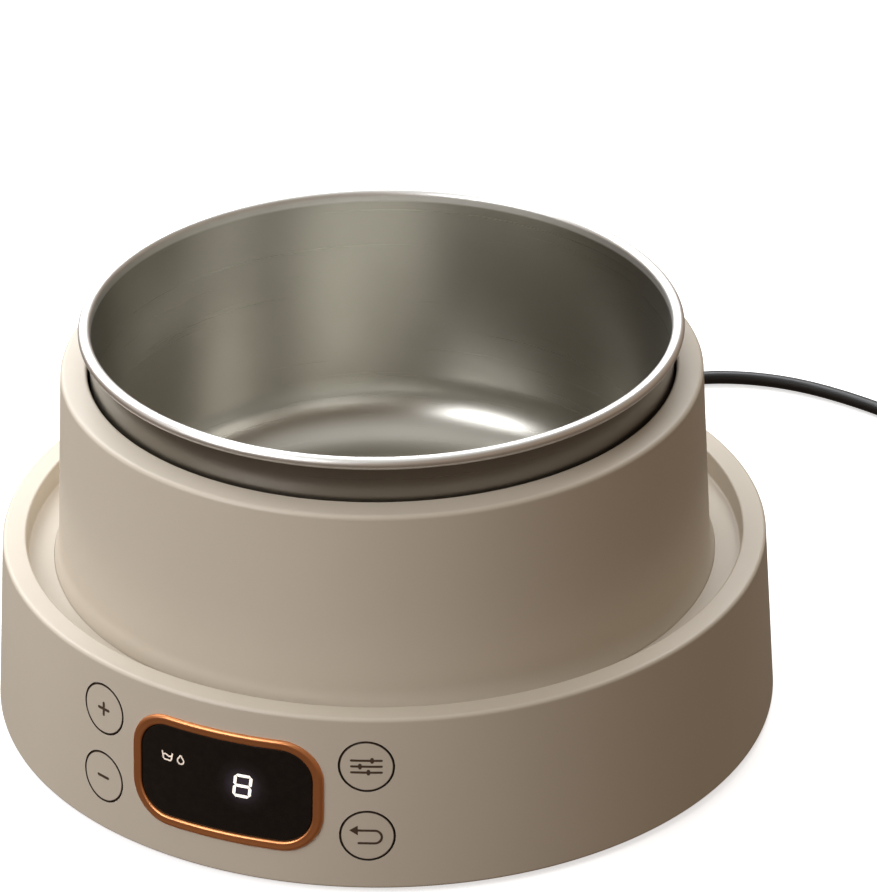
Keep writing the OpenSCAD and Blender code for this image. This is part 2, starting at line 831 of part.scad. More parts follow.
// Flat jumpers from the control board to the two key boards
module key_jumpers() {
  y = control_board_y;
  t = 0.5;
  color([0.6, 0.6, 0.62]) for (side = [-1, 1]) {
    scale([side, 1, 1]) translate([0, 0, 25]) linear_extrude(7) {
      polygon([[22.2, y], [23.2, y], [25.2, y - 0.9], by_key_board(-7.2, 0), by_key_board(-6, 0),
               by_key_board(-6, t), by_key_board(-7.5, t), [25.2, y - 0.9 - t], [23.2, y - t],
               [22.2, y - t]]);
    }
  }
}

// Saddle that clamps the cord inside the housing
module cord_clamp() {
  color(cream) difference() {
    translate([-11, clamp_y - 4, cord_under_z]) cube([22, 8, cord_d + 2]);
    translate([0, clamp_y - 6, outlet_z]) rotate([-90, 0, 0]) cylinder(h = 12, d = cord_d);
    translate([-cord_d / 2, clamp_y - 6, cord_under_z - 1]) cube([cord_d, 12, 1 + cord_d / 2]);
    for (s = [-1, 1]) {
      translate([s * clamp_screw_x, clamp_y, cord_under_z - 1]) cylinder(h = 12, d = 2.6);
    }
  }
}

module clamp_screws() {
  color(zinc) for (s = [-1, 1]) {
    screw_down([s * clamp_screw_x, clamp_y], cord_under_z + cord_d + 2, 2.2, cord_d + 6, 4.4, 1.5);
  }
}

// The cord inside the housing, from the strain relief to where its two leads part
module cord_stub() {
  color(black) translate([0, stub_end_y, outlet_z]) rotate([-90, 0, 0]) {
    cylinder(h = relief_back_y - stub_end_y, d = cord_d);
  }
}

// Tapered rubber sleeve where the cord leaves the housing
module strain_relief() {
  neck_r = 4.5;
  flange_edge_r = 6.4;
  color(black) translate([0, 0, outlet_z]) rotate([-90, 0, 0]) rotate_extrude() {
    polygon([[0, relief_back_y], [flange_edge_r, relief_back_y], [flange_edge_r, relief_flange_y],
             [neck_r, relief_flange_y], [neck_r, relief_collar_y],
             [relief_collar_r, relief_collar_y], [relief_collar_r, relief_collar_y + 2.4],
             [neck_r, relief_collar_y + 3.6], [3, relief_tip_y], [0, relief_tip_y]]);
  }
}

module cord_lead() {
  color(black) tube(lead_route, cord_d);
}

// The wound part of the cord, as one ring
module coil_section() {
  translate([coil_in_r, coil_z]) square([coil_out_r - coil_in_r, coil_top_z - coil_z]);
}

module cord_coil() {
  color(black) translate([coil_mid[0], coil_mid[1], 0]) rotate_extrude() coil_section();
}

// Strap round the coil
module coil_tie() {
  color(black) translate([coil_mid[0], coil_mid[1], 0]) intersection() {
    rotate_extrude() difference() {
      translate([coil_in_r - tie_t, 0]) {
        square([coil_out_r - coil_in_r + 2 * tie_t, coil_top_z + tie_t]);
      }
      coil_section();
    }
    rotate([0, 0, 215]) translate([10, -tie_w / 2, -1]) cube([30, tie_w, 20]);
  }
}

module cord_tail() {
  color(black) tube(tail_route, cord_d);
}

// Moulded plug with its own tapered sleeve
module plug_body() {
  color(black) {
    translate([tail_x, plug_y, tail_z]) rotate([90, 0, 0]) {
      cylinder(h = plug_relief + 1, d1 = cord_d + 1.6, d2 = cord_d + 5);
    }
    translate([tail_x, plug_y - plug_relief, 0]) linear_extrude(plug_h) {
      difference() {
        polygon([[-5, 0], [5, 0], [plug_w / 2, -12], [plug_w / 2, -plug_len],
                 [-plug_w / 2, -plug_len], [-plug_w / 2, -12]]);
        corner_round([plug_w / 2, -plug_len], [0, 1], [-1, 0], 2);
        corner_round([-plug_w / 2, -plug_len], [0, 1], [1, 0], 2);
      }
    }
  }
}

// Two flat blades
module plug_blades() {
  color(steel) for (s = [-1, 1]) {
    translate([tail_x + s * blade_pitch / 2 - 0.75, plug_y - plug_relief - plug_len - blade_len,
               tail_z - 3.15]) cube([1.5, blade_len, 6.3]);
  }
}

lower_housing();
upper_housing();
bottom_cover();
foot(225);  // foot_front_left
foot(315);  // foot_front_right
foot(135);  // foot_back_left
foot(45);  // foot_back_right
cover_screws();
drum_screws();
inner_pot();
heating_well();
well_seal();
heater_belt();
heater_mat();
clamp_plate();
well_carrier();
carrier_screws();
temp_sensor();
thermal_fuse();
sensor_clips();
clip_screws();
display_bezel();
display_lens();
display_module();
control_board();
key_board(-1);  // key_board_left
key_board(1);  // key_board_right
tact_switches();
panel_bracket();
bracket_screws();
panel_screws();
key_cap(-1, 1);  // key_plus
key_cap(-1, -1);  // key_minus
key_cap(1, 1);  // key_menu
key_cap(1, -1);  // key_cancel
power_board();
board_screws();
relay();
film_capacitor();
filter_capacitor();
mains_fuse();
terminal_block();
mains_leads();
heater_leads();
sensor_leads();
panel_cable();
key_jumpers();
cord_clamp();
clamp_screws();
cord_stub();
strain_relief();
cord_lead();
cord_coil();
coil_tie();
cord_tail();
plug_body();
plug_blades();
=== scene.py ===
"""Looks of the yogurt maker: camera, light and floor, the free cord, materials, and the finer pieces."""
import math

import bmesh
import bpy
from mathutils import Matrix, Vector


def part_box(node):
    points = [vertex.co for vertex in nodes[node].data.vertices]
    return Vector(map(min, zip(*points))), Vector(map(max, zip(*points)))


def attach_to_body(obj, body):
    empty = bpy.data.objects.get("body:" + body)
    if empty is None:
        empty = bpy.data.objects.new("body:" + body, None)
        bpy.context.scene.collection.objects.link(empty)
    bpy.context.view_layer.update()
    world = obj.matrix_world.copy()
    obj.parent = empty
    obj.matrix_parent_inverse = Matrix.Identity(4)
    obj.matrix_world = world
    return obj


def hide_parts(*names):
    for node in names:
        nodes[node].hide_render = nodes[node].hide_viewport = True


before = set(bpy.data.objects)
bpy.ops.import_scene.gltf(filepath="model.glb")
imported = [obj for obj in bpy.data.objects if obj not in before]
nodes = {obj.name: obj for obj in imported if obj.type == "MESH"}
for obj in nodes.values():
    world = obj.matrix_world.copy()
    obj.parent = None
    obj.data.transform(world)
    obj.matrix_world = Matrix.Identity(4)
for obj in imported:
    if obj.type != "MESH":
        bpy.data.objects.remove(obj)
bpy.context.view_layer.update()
scene = bpy.context.scene
MM = 0.001

# ---------------------------------------------------------------- camera, light, floor

VIEW_AZIMUTH = math.radians(23.95)
VIEW_ELEVATION = math.radians(28.525)
VIEW_DISTANCE = 1.35032
AIM_HEIGHT = 0.072
PAN, TILT, ROLL = math.radians(0.649), math.radians(0.115), math.radians(-0.885)
LENS_MM = 196.62
LIGHT_AIM_HEIGHT = 0.06
COOL_WHITE = (0.93, 0.965, 1.0)
FLOOR_HALF = 6
# How far the floor lies below the feet, so that the two faces never share a plane
FLOOR_DROP = 0.0002


def make_camera():
    """Looks at the drum's axis from the right of the panel, a little turned, tilted and rolled."""
    level = Vector((0, math.cos(VIEW_ELEVATION), -math.sin(VIEW_ELEVATION)))
    right = Vector((1, 0, 0))
    up = right.cross(level)
    aim = (level * math.cos(PAN) * math.cos(TILT) + right * math.sin(PAN) * math.cos(TILT)
           + up * math.sin(TILT))
    side = aim.cross(up).normalized()
    top = side.cross(aim)
    x = side * math.cos(ROLL) + top * math.sin(ROLL)
    y = top * math.cos(ROLL) - side * math.sin(ROLL)
    turn = Matrix((x, y, -aim)).transposed().to_4x4()
    place = Matrix.Translation(-level * VIEW_DISTANCE + Vector((0, 0, AIM_HEIGHT)))
    data = bpy.data.cameras.new("camera")
    data.lens = LENS_MM
    data.clip_start, data.clip_end = 0.05, 20
    camera = bpy.data.objects.new("camera", data)
    camera.matrix_world = Matrix.Rotation(VIEW_AZIMUTH, 4, "Z") @ place @ turn
    scene.collection.objects.link(camera)
    scene.camera = camera


def area_light(name, azimuth, elevation, distance, size, watts, colour):
    """Soft square light, aimed at the drum. Azimuth 0 is in front of the panel, 90 at its right."""
    a, e = math.radians(azimuth), math.radians(elevation)
    away = Vector((math.sin(a) * math.cos(e), -math.cos(a) * math.cos(e), math.sin(e)))
    data = bpy.data.lights.new(name, "AREA")
    data.size = size
    data.energy = watts
    data.color = colour
    light = bpy.data.objects.new(name, data)
    light.location = away * distance + Vector((0, 0, LIGHT_AIM_HEIGHT))
    light.rotation_mode = "QUATERNION"
    light.rotation_quaternion = away.to_track_quat("Z", "Y")
    scene.collection.objects.link(light)


def fill_ramp(ramp, stops):
    """Sets a ramp's stops, each a (position, colour)."""
    points = ramp.elements
    while len(points) < len(stops):
        points.new(0.5)
    for point, (position, colour) in zip(points, stops):
        point.position = position
        point.color = (*colour, 1)


def make_light():
    """Neutral key from the front left, lights at the left and behind for the edges, and a warm room
    that is darkest below and brightest overhead."""
    area_light("key", -25, 30, 1.1, 0.6, 6.6, (0.94, 0.965, 1.0))
    area_light("left", -118, 40, 1.1, 0.95, 13, COOL_WHITE)
    area_light("back", -174, 50, 1.2, 0.6, 7, COOL_WHITE)
    world = bpy.data.worlds.new("studio")
    world.use_nodes = True
    tree = world.node_tree
    height = tree.nodes.new("ShaderNodeSeparateXYZ")
    tree.links.new(tree.nodes.new("ShaderNodeTexCoord").outputs["Generated"], height.inputs[0])
    sky = tree.nodes.new("ShaderNodeMapRange")
    sky.inputs["From Min"].default_value = -1
    tree.links.new(height.outputs[2], sky.inputs["Value"])
    ramp = tree.nodes.new("ShaderNodeValToRGB")
    tree.links.new(sky.outputs["Result"], ramp.inputs["Fac"])
    # From 0 straight down to 1 straight up
    fill_ramp(ramp.color_ramp, ((0.35, (0.125, 0.090, 0.066)), (0.55, (0.33, 0.25, 0.185)),
                                (0.85, (0.22, 0.18, 0.14)), (0.985, (0.8, 0.78, 0.75))))
    tree.links.new(ramp.outputs["Color"], tree.nodes["Background"].inputs["Color"])
    scene.world = world
    scene.view_settings.view_transform = "Standard"


def make_floor():
    """Plain pale floor that throws no light back on the object."""
    mesh = bpy.data.meshes.new("floor")
    corners = [(x * FLOOR_HALF, y * FLOOR_HALF, 0) for x, y in ((-1, -1), (1, -1), (1, 1), (-1, 1))]
    mesh.from_pydata(corners, [], [(0, 1, 2, 3)])
    floor = bpy.data.objects.new("floor", mesh)
    floor.location.z = -FLOOR_DROP
    material = bpy.data.materials.new("floor")
    material.use_nodes = True
    shader = material.node_tree.nodes["Principled BSDF"]
    shader.inputs["Base Color"].default_value = (0.86, 0.86, 0.86, 1)
    shader.inputs["Roughness"].default_value = 0.9
    shader.inputs["Specular IOR Level"].default_value = 0.1
    shader.inputs["Emission Color"].default_value = (1, 1, 1, 1)
    shader.inputs["Emission Strength"].default_value = 0.62
    mesh.materials.append(material)
    scene.collection.objects.link(floor)
    floor.visible_diffuse = False
    floor.visible_glossy = False


make_camera()
make_light()
make_floor()

# ---------------------------------------------------------------- materials

CREAM = (0.600, 0.535, 0.445)
DARK_PRINT = (0.070, 0.042, 0.026)
SHADE = (0.030, 0.022, 0.016)
# Middle of the lit figure, across and up, in millimetres
FIGURE = (5.85, 28.9)
# Radii where a key cap's cream begins to darken and is fully dark, in millimetres: a printed ring at the
# face's edge, and painted gap shade down the cap's sides
CAP_LIGHT_R, CAP_DARK_R = 6.82, 6.90
# Heights where the painted highlight on the pot's rolled rim begins and is full, in millimetres
RIM_HIGHLIGHT_FROM, RIM_HIGHLIGHT_FULL = 112.2, 112.8
# Distances from the lit figure where its haze begins and is full, in millimetres
HAZE_FROM, HAZE_FULL = 8, 2


def toned(colour, share):
    """The colour made lighter or darker."""
    return tuple(min(1, c * share) for c in colour)


class Shader:
    """One material: makes nodes, links them, and sets the surface's sockets."""

    def __init__(self, name, **constants):
        self.material = bpy.data.materials.new(name)
        self.material.use_nodes = True
        self.tree = self.material.node_tree
        self.surface = self.tree.nodes["Principled BSDF"]
        for socket, value in constants.items():
            self.surface.inputs[socket.replace("_", " ")].default_value = value

    def node(self, kind, inputs=(), **settings):
        """A node with its settings, and its inputs by place or name, each a number or another socket."""
        made = self.tree.nodes.new("ShaderNode" + kind)
        for key, value in settings.items():
            setattr(made, key, value)
        for key, value in dict(inputs).items():
            if isinstance(value, bpy.types.NodeSocket):
                self.tree.links.new(value, made.inputs[key])
            else:
                made.inputs[key].default_value = value
        return made

    def place(self):
        """Where a point is in the object's own frame, in metres."""
        return self.node("TexCoord").outputs["Object"]

    def axes(self):
        """That place as its x, y and z."""
        return self.node("SeparateXYZ", {0: self.place()}).outputs

    def maths(self, operation, *values):
        return self.node("Math", dict(enumerate(values)), operation=operation).outputs[0]

    def length(self, a, b):
        """Length of the flat vector (a, b)."""
        squares = self.maths("ADD", self.maths("MULTIPLY", a, a), self.maths("MULTIPLY", b, b))
        return self.maths("SQRT", squares)

    def noise(self, scale, detail=3.0, roughness=0.5, at=None):
        made = self.node("TexNoise", {"Scale": scale, "Detail": detail, "Roughness": roughness,
                                      "Vector": at or self.place()})
        return made.outputs["Fac"]

    def ramp(self, value, *stops):
        """Colours along a value, as (position, colour)."""
        made = self.node("ValToRGB", {"Fac": value})
        fill_ramp(made.color_ramp, stops)
        return made.outputs["Color"]

    def spun(self, turn, lines):
        """Streaks of metal spun about Z, long round each ring and fine across wall and floor."""
        x, y, z = self.axes()
        rings = self.node("CombineXYZ", {0: self.maths("MULTIPLY", self.maths("ARCTAN2", y, x), turn),
                                         1: self.maths("MULTIPLY", self.length(x, y), lines),
                                         2: self.maths("MULTIPLY", z, lines)})
        return self.noise(1.0, 4, 0.65, rings.outputs[0])

    def scaled(self, value, low, high):
        """The value's 0 to 1 spread over low to high."""
        return self.node("MapRange", {"Value": value, "To Min": low, "To Max": high}).outputs["Result"]

    def scaled_from(self, value, low, high):
        """0 at low to 1 at high, level beyond."""
        return self.node("MapRange", {"Value": value, "From Min": low, "From Max": high}).outputs["Result"]

    def mix(self, share, colour, other):
        made = self.node("MixRGB", {"Fac": share, "Color1": colour, "Color2": other})
        return made.outputs["Color"]

    def bump(self, height, strength, distance):
        made = self.node("Bump", {"Height": height, "Strength": strength, "Distance": distance})
        return made.outputs["Normal"]

    def set(self, socket, value):
        self.tree.links.new(value, self.surface.inputs[socket])
        return self


def moulded(name, colour, roughness, grain=1600, grain_depth=0.00003, tone=0.035):
    """Moulded plastic or rubber: faint cloudy tone, fine spark-eroded grain, uneven gloss."""
    s = Shader(name)
    dark, light = toned(colour, 1 - tone), toned(colour, 1 + tone)
    s.set("Base Color", s.ramp(s.noise(18, 4), (0.3, dark), (0.7, light)))
    s.set("Roughness", s.scaled(s.noise(260, 5), roughness * 0.86, roughness * 1.14))
    s.set("Normal", s.bump(s.noise(grain, 2, 0.6), 0.35, grain_depth))
    return s.material


def turned_metal(name, colour, low, high, lines=1500, depth=0.000006):
    """Sheet metal spun about Z, its gloss from low to high roughness, with soft stains."""
    s = Shader(name, Metallic=1.0)
    streaks = s.spun(0.6, lines)
    s.set("Base Color", s.ramp(s.noise(30, 3), (0.3, toned(colour, 0.93)), (0.75, colour)))
    s.set("Roughness", s.scaled(streaks, low, high))
    s.set("Normal", s.bump(streaks, 0.5, depth))
    return s.material


def pot_steel(name, low, high):
    """Spun stainless steel between a low and a high tone; the rolled rim is painted near-white, a painted
    highlight, and made rougher.
    """
    s = Shader(name, Metallic=1.0)
    streaks = s.spun(0.5, 1500)
    stains = s.noise(24, 3)
    rim = s.scaled_from(s.axes()[2], RIM_HIGHLIGHT_FROM * MM, RIM_HIGHLIGHT_FULL * MM)
    finish = s.ramp(stains, (0.3, low), (0.75, high))
    # Painted highlight: the rim's steel is painted near-white so that it reads as lit
    painted_highlight = s.ramp(stains, (0.3, (0.86, 0.85, 0.83)), (0.75, (0.92, 0.91, 0.90)))
    s.set("Base Color", s.mix(rim, finish, painted_highlight))
    s.set("Roughness", s.maths("ADD", s.scaled(streaks, 0.24, 0.34), s.maths("MULTIPLY", rim, 0.12)))
    s.set("Normal", s.bump(streaks, 0.3, 0.000003))
    return s.material


def circuit_board(name):
    """Green solder resist over copper tracks, with pale pads."""
    s = Shader(name, Coat_Weight=0.4)
    cells = s.node("TexVoronoi", {"Scale": 420.0, "Vector": s.place()}, feature="DISTANCE_TO_EDGE")
    tracks = s.ramp(cells.outputs["Distance"], (0.0, (0.02, 0.13, 0.06)), (0.08, (0.05, 0.24, 0.12)))
    s.set("Base Color", tracks)
    s.set("Roughness", s.scaled(s.noise(300), 0.25, 0.45))
    s.set("Normal", s.bump(cells.outputs["Distance"], 0.4, 0.00004))
    return s.material


def ringed_cream(name, angle, height):
    """The keys' cream, dark beyond the cap's edge as seen round the key's own axis: a printed ring on the
    face, and painted shade on the cap's sides in the gap round the key.
    """
    s = Shader(name)
    x, y, z = s.axes()
    across = s.maths("ADD", s.maths("MULTIPLY", x, math.cos(angle)),
                     s.maths("MULTIPLY", y, math.sin(angle)))
    away = s.length(across, s.maths("SUBTRACT", z, height * MM))
    edge = s.scaled_from(away, CAP_LIGHT_R * MM, CAP_DARK_R * MM)
    tone = s.ramp(s.noise(18, 4), (0.3, toned(CREAM, 0.98)), (0.7, toned(CREAM, 1.02)))
    # The dark is print on the face and painted gap shade on the cap's sides
    dark = s.ramp(s.noise(300), (0.3, SHADE), (0.7, DARK_PRINT))
    s.set("Base Color", s.mix(edge, tone, dark))
    s.set("Roughness", s.scaled(s.noise(260, 5), 0.40, 0.52))
    s.set("Normal", s.bump(s.noise(1900, 2, 0.6), 0.35, 0.000025))
    return s.material


def glowing(name, colour, strength, spread):
    """Lit symbol behind the window: brightest in soft patches."""
    s = Shader(name, Emission_Strength=strength)
    patches = s.noise(260, 2)
    s.set("Base Color", s.ramp(patches, (0.2, toned(colour, 0.6)), (0.8, colour)))
    s.set("Emission Color", s.ramp(patches, (0.2, toned(colour, spread)), (0.8, colour)))
    s.set("Roughness", s.scaled(s.noise(800), 0.3, 0.5))
    return s.material


def window(name, glow_from):
    """Smoked gloss lens, with a faint haze of light round the lit figure and the finest dust."""
    s = Shader(name, Specular_IOR_Level=0.3, Emission_Strength=1.0)
    x, _, z = s.axes()
    away = s.length(s.maths("SUBTRACT", x, glow_from[0] * MM), s.maths("SUBTRACT", z, glow_from[1] * MM))
    haze = s.scaled_from(away, HAZE_FROM * MM, HAZE_FULL * MM)
    s.set("Base Color", s.ramp(s.noise(500), (0.2, (0.008, 0.006, 0.005)), (0.8, (0.013, 0.010, 0.008))))
    s.set("Emission Color", s.ramp(haze, (0.0, (0.0, 0.0, 0.0)), (0.4, (0.004, 0.003, 0.004)),
                                   (1.0, (0.030, 0.023, 0.032))))
    s.set("Roughness", s.scaled(s.noise(900), 0.05, 0.11))
    return s.material


LOOKS = {
    "cream": moulded("cream_plastic", CREAM, 0.46, 1900, 0.000025, 0.02),
    "steel": turned_metal("spun_steel", (0.62, 0.60, 0.57), 0.20, 0.34),
    "pot": pot_steel("pot_inside", (0.50, 0.485, 0.44), (0.55, 0.535, 0.49)),
    # The pot's outside and underside: the same steel painted darker, as painted shade
    "pot_outside_painted_shade": pot_steel("pot_outside_painted_shade", (0.29, 0.275, 0.25), (0.33, 0.315, 0.29)),
    "well": turned_metal("satin_aluminium", (0.66, 0.66, 0.67), 0.32, 0.48, 900),
    "copper": turned_metal("copper_trim", (0.86, 0.36, 0.15), 0.34, 0.44, 2600, 0.000002),
    "gloss_black": window("smoked_window", FIGURE),
    "gap": moulded("shaded_gap", (0.030, 0.020, 0.014), 0.7),
    "ink": moulded("key_print", DARK_PRINT, 0.5, 2400),
    "lit": glowing("lit_figure", (1.0, 0.93, 0.84), 1.0, 0.85),
    "lit_dim": glowing("lit_sign", (0.80, 0.68, 0.58), 0.75, 0.6),
    "black": moulded("matte_black", (0.022, 0.022, 0.024), 0.5),
    "silicone": moulded("silicone", (0.50, 0.13, 0.06), 0.55, 900),
    "rubber": moulded("foot_rubber", (0.02, 0.02, 0.02), 0.62, 900, 0.00005),
    "cord": moulded("cord_rubber", (0.012, 0.012, 0.013), 0.38, 1200, 0.00002),
    "zinc": turned_metal("zinc_screws", (0.60, 0.61, 0.64), 0.25, 0.42, 4000),
    "board": circuit_board("circuit_board"),
    "blue": moulded("blue_moulding", (0.05, 0.12, 0.35), 0.35),
    "yellow": moulded("yellow_moulding", (0.60, 0.42, 0.06), 0.35),
    "green": moulded("green_moulding", (0.06, 0.26, 0.12), 0.4),
    "sleeve": moulded("white_sleeve", (0.68, 0.67, 0.62), 0.7, 2600, 0.00008),
    "brown": moulded("brown_insulation", (0.15, 0.06, 0.03), 0.4),
    "ribbon": moulded("flat_cable", (0.36, 0.36, 0.38), 0.45),
}

NODE_LOOKS = {
    "lower_housing": "cream", "upper_housing": "cream", "bottom_cover": "cream", "key_plus": "cream",
    "key_minus": "cream", "key_menu": "cream", "key_cancel": "cream", "cord_clamp": "cream",
    "foot_front_left": "rubber", "foot_front_right": "rubber", "foot_back_left": "rubber",
    "foot_back_right": "rubber", "cover_screws": "zinc", "drum_screws": "zinc", "inner_pot": "steel",
    "heating_well": "well", "well_seal": "silicone", "heater_belt": "silicone", "heater_mat": "silicone",
    "clamp_plate": "well", "well_carrier": "black", "carrier_screws": "zinc", "temp_sensor": "steel",
    "thermal_fuse": "sleeve", "sensor_clips": "zinc", "clip_screws": "zinc", "display_bezel": "copper",
    "display_lens": "gloss_black", "display_module": "black", "control_board": "board",
    "key_board_left": "board", "key_board_right": "board", "tact_switches": "black",
    "panel_bracket": "black", "bracket_screws": "zinc", "panel_screws": "zinc", "power_board": "board",
    "board_screws": "zinc", "relay": "blue", "film_capacitor": "yellow", "filter_capacitor": "black",
    "mains_fuse": "sleeve", "terminal_block": "green", "mains_leads": "brown", "heater_leads": "sleeve",
    "sensor_leads": "sleeve", "panel_cable": "ribbon", "key_jumpers": "ribbon", "clamp_screws": "zinc",
    "cord_stub": "cord", "strain_relief": "cord", "cord_lead": "cord", "cord_coil": "cord",
    "coil_tie": "cord", "cord_tail": "cord", "plug_body": "cord", "plug_blades": "zinc",
}

for name, look in NODE_LOOKS.items():
    nodes[name].data.materials.clear()
    nodes[name].data.materials.append(LOOKS[look])

# ---------------------------------------------------------------- cord

# Diameter of the cord; every other length of its route is in millimetres
CORD_D = 4.2 * MM
# The route from the strain relief's tip to the coil, as in the CAD source
LEAD_ROUTE = [(0, 146, 13), (0, 150, 13), (0, 156, 11.8), (0.2, 163, 8.8), (1, 171, 5), (3, 180, 2.6),
              (7, 190, 2.1), (13, 198, 2.1), (21, 204, 2.1), (31, 208, 2.1), (42, 210, 2.1),
              (53, 210, 2.1), (64, 208.3, 2.1), (75, 205.6, 2.1), (86, 202, 2.1), (97, 197.5, 2.1),
              (108, 192.2, 2.1), (119, 186, 2.2), (130, 179.2, 2.3), (141, 171.6, 2.5),
              (151, 163.8, 2.6), (158, 157.8, 2.7)]
COIL_MID = (140, 138)
COIL_RADII = (26.7, 22.5, 18.3)
COIL_LEVELS = (2.7, 6.9)
TAIL = 21
TAIL_POINTS = 3


def eased(t):
    """0 to 1, level at both ends."""
    return t * t * (3 - 2 * t)


def coil_points():
    """Clockwise turns: three inwards on the table, then three outwards on top of them.
    Each turn is a circle that shifts by one cord's width, or climbs, within a short stretch."""
    start = math.degrees(math.atan2(LEAD_ROUTE[-1][1] - COIL_MID[1], LEAD_ROUTE[-1][0] - COIL_MID[0]))
    stretch, step = 50, 10
    # Degrees turned by the time the coil passes the three directions where it shifts or climbs
    inwards, climb, outwards = (360 + start - direction for direction in (150, 200, 250))
    outer, middle, inner = COIL_RADII
    low, high = COIL_LEVELS
    # (angle where the stretch begins, radius and height after it)
    shifts = [(inwards, middle, low), (inwards + 360, inner, low), (climb + 720, inner, high),
              (outwards + 1080, middle, high), (outwards + 1440, outer, high)]
    points, end = [], start + 5 * 360
    turned = step
    while turned < end - step / 2:
        r, z = outer, low
        for begins, next_r, next_z in shifts:
            t = eased(min(1, max(0, (turned - begins) / stretch)))
            r, z = r + (next_r - r) * t, z + (next_z - z) * t
        a = math.radians(start - turned)
        points.append((COIL_MID[0] + r * math.cos(a), COIL_MID[1] + r * math.sin(a), z))
        turned += step
    return points


def tail_points():
    x = COIL_MID[0] + COIL_RADII[0]
    return [(x, COIL_MID[1] - TAIL * k / TAIL_POINTS, COIL_LEVELS[1]) for k in range(TAIL_POINTS + 1)]


def make_cord():
    route = LEAD_ROUTE + coil_points() + tail_points()
    curve = bpy.data.curves.new("mains_cord", "CURVE")
    curve.dimensions = "3D"
    curve.bevel_depth = CORD_D / 2
    curve.bevel_resolution = 5
    curve.resolution_u = 6
    curve.use_fill_caps = True
    spline = curve.splines.new("NURBS")
    spline.points.add(len(route) - 1)
    for point, place in zip(spline.points, route):
        point.co = (*(c * MM for c in place), 1)
    spline.order_u = 3
    spline.use_endpoint_u = True
    curve.materials.append(LOOKS["cord"])
    cord = bpy.data.objects.new("mains_cord", curve)
    scene.collection.objects.link(cord)
    length = sum((Vector(b) - Vector(a)).length for a, b in zip(route, route[1:])) * MM
    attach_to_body(cord, "housing")
    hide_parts("cord_lead", "cord_coil", "cord_tail")
    return cord, length


cord, cord_length = make_cord()

# ---------------------------------------------------------------- mesh tools


def box_mm(node):
    low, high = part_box(node)
    return Vector(low) / MM, Vector(high) / MM


def rounded(corners, steps=8, lead=0.35):
    """Closed section with each corner (x, y, radius) as an arc, and a point a lead before and after it."""
    points = []
    for i, (x, y, radius) in enumerate(corners):
        here = Vector((x, y))
        if not radius:
            points.append(here)
            continue
        u = (Vector(corners[i - 1][:2]) - here).normalized()
        v = (Vector(corners[(i + 1) % len(corners)][:2]) - here).normalized()
        half = u.angle(v) / 2
        reach = radius / math.tan(half)
        centre = here + (u + v).normalized() * radius / math.sin(half)
        spoke = here + u * reach - centre
        turn = spoke.angle_signed(here + v * reach - centre)
        points.append(here + u * (reach + lead))
        for k in range(steps + 1):
            points.append(centre + Matrix.Rotation(-turn * k / steps, 2) @ spoke)
        points.append(here + v * (reach + lead))
    return [tuple(p) for p in points]


def arc(centre, radius, start, end, steps):
    """Points on a circle from one angle to another, in degrees."""
    angles = [math.radians(start + (end - start) * k / steps) for k in range(steps + 1)]
    return [(centre[0] + radius * math.cos(a), centre[1] + radius * math.sin(a)) for a in angles]


def loft(rows, closed):
    """Faces between rows of vertex numbers. A row of one repeated number is a pole."""
    faces = []
    pairs = list(zip(rows, rows[1:]))
    if closed:
        pairs.append((rows[-1], rows[0]))
    for low, high in pairs:
        for k in range(len(low)):
            j = (k + 1) % len(low)
            face = list(dict.fromkeys((low[k], low[j], high[j], high[k])))
            if len(face) > 2:
                faces.append(face)
    return faces


def rings(point, rows, count, closed):
    """Mesh of rows of count points each, from point(row, k). A row whose points agree becomes a pole."""
    vertices, numbers = [], []
    for row in rows:
        places = [point(row, k) for k in range(count)]
        if all((Vector(a) - Vector(places[0])).length < 1e-6 for a in places):
            numbers.append([len(vertices)] * count)
            vertices.append(places[0])
        else:
            numbers.append(list(range(len(vertices), len(vertices) + count)))
            vertices += places
    return vertices, loft(numbers, closed)


def revolve(section, segments=256, closed=True):
    """A section (r, z) turned about Z."""
    def point(row, k):
        a = math.tau * (k + 0.5) / segments
        return row[0] * math.cos(a), row[0] * math.sin(a), row[1]
    return rings(point, section, segments, closed)


def joined(*parts):
    """Several meshes as one."""
    vertices, faces = [], []
    for more, sides in parts:
        faces += [[n + len(vertices) for n in face] for face in sides]
        vertices += more
    return vertices, faces


def plain_object(name, geometry, *looks):
    """Smooth object with sharp edges kept, from a mesh in millimetres."""
    vertices, faces = geometry
    mesh = bpy.data.meshes.new(name)
    mesh.from_pydata([[c * MM for c in v] for v in vertices], [], faces)
    work = bmesh.new()
    work.from_mesh(mesh)
    bmesh.ops.recalc_face_normals(work, faces=work.faces)
    work.to_mesh(mesh)
    work.free()
    for look in looks:
        mesh.materials.append(LOOKS[look])
    made = bpy.data.objects.new(name, mesh)
    scene.collection.objects.link(made)
    smooth(made)
    return made


def smooth(made, angle=38):
    made.data.polygons.foreach_set("use_smooth", [True] * len(made.data.polygons))
    made.data.set_sharp_from_angle(angle=math.radians(angle))


def piece(name, geometry, look, body, slot, *replaced):
    """Object that rides on a body, and stands for CAD nodes if any are named."""
    made = plain_object(name, geometry, look)
    attach(made, body, slot, *replaced)
    return made


def attach(made, body, slot, *replaced):
    """Puts an object on a body, and in the place of CAD nodes. The slot is not used."""
    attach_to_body(made, body)
    if replaced:
        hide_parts(*replaced)


def cut(target, *cutters):
    """Takes the cutters out of the target. The new faces keep the cutter's material."""
    for cutter in cutters:
        modifier = target.modifiers.new(cutter.name, "BOOLEAN")
        modifier.object = cutter
        modifier.operation = "DIFFERENCE"
        modifier.solver = "EXACT"
        modifier.material_mode = "TRANSFER"
    graph = bpy.context.evaluated_depsgraph_get()
    whole = bpy.data.meshes.new_from_object(target.evaluated_get(graph))
    target.modifiers.clear()
    target.data = whole
    for cutter in cutters:
        bpy.data.objects.remove(cutter)
    smooth(target)


# ---------------------------------------------------------------- housings, pot and well

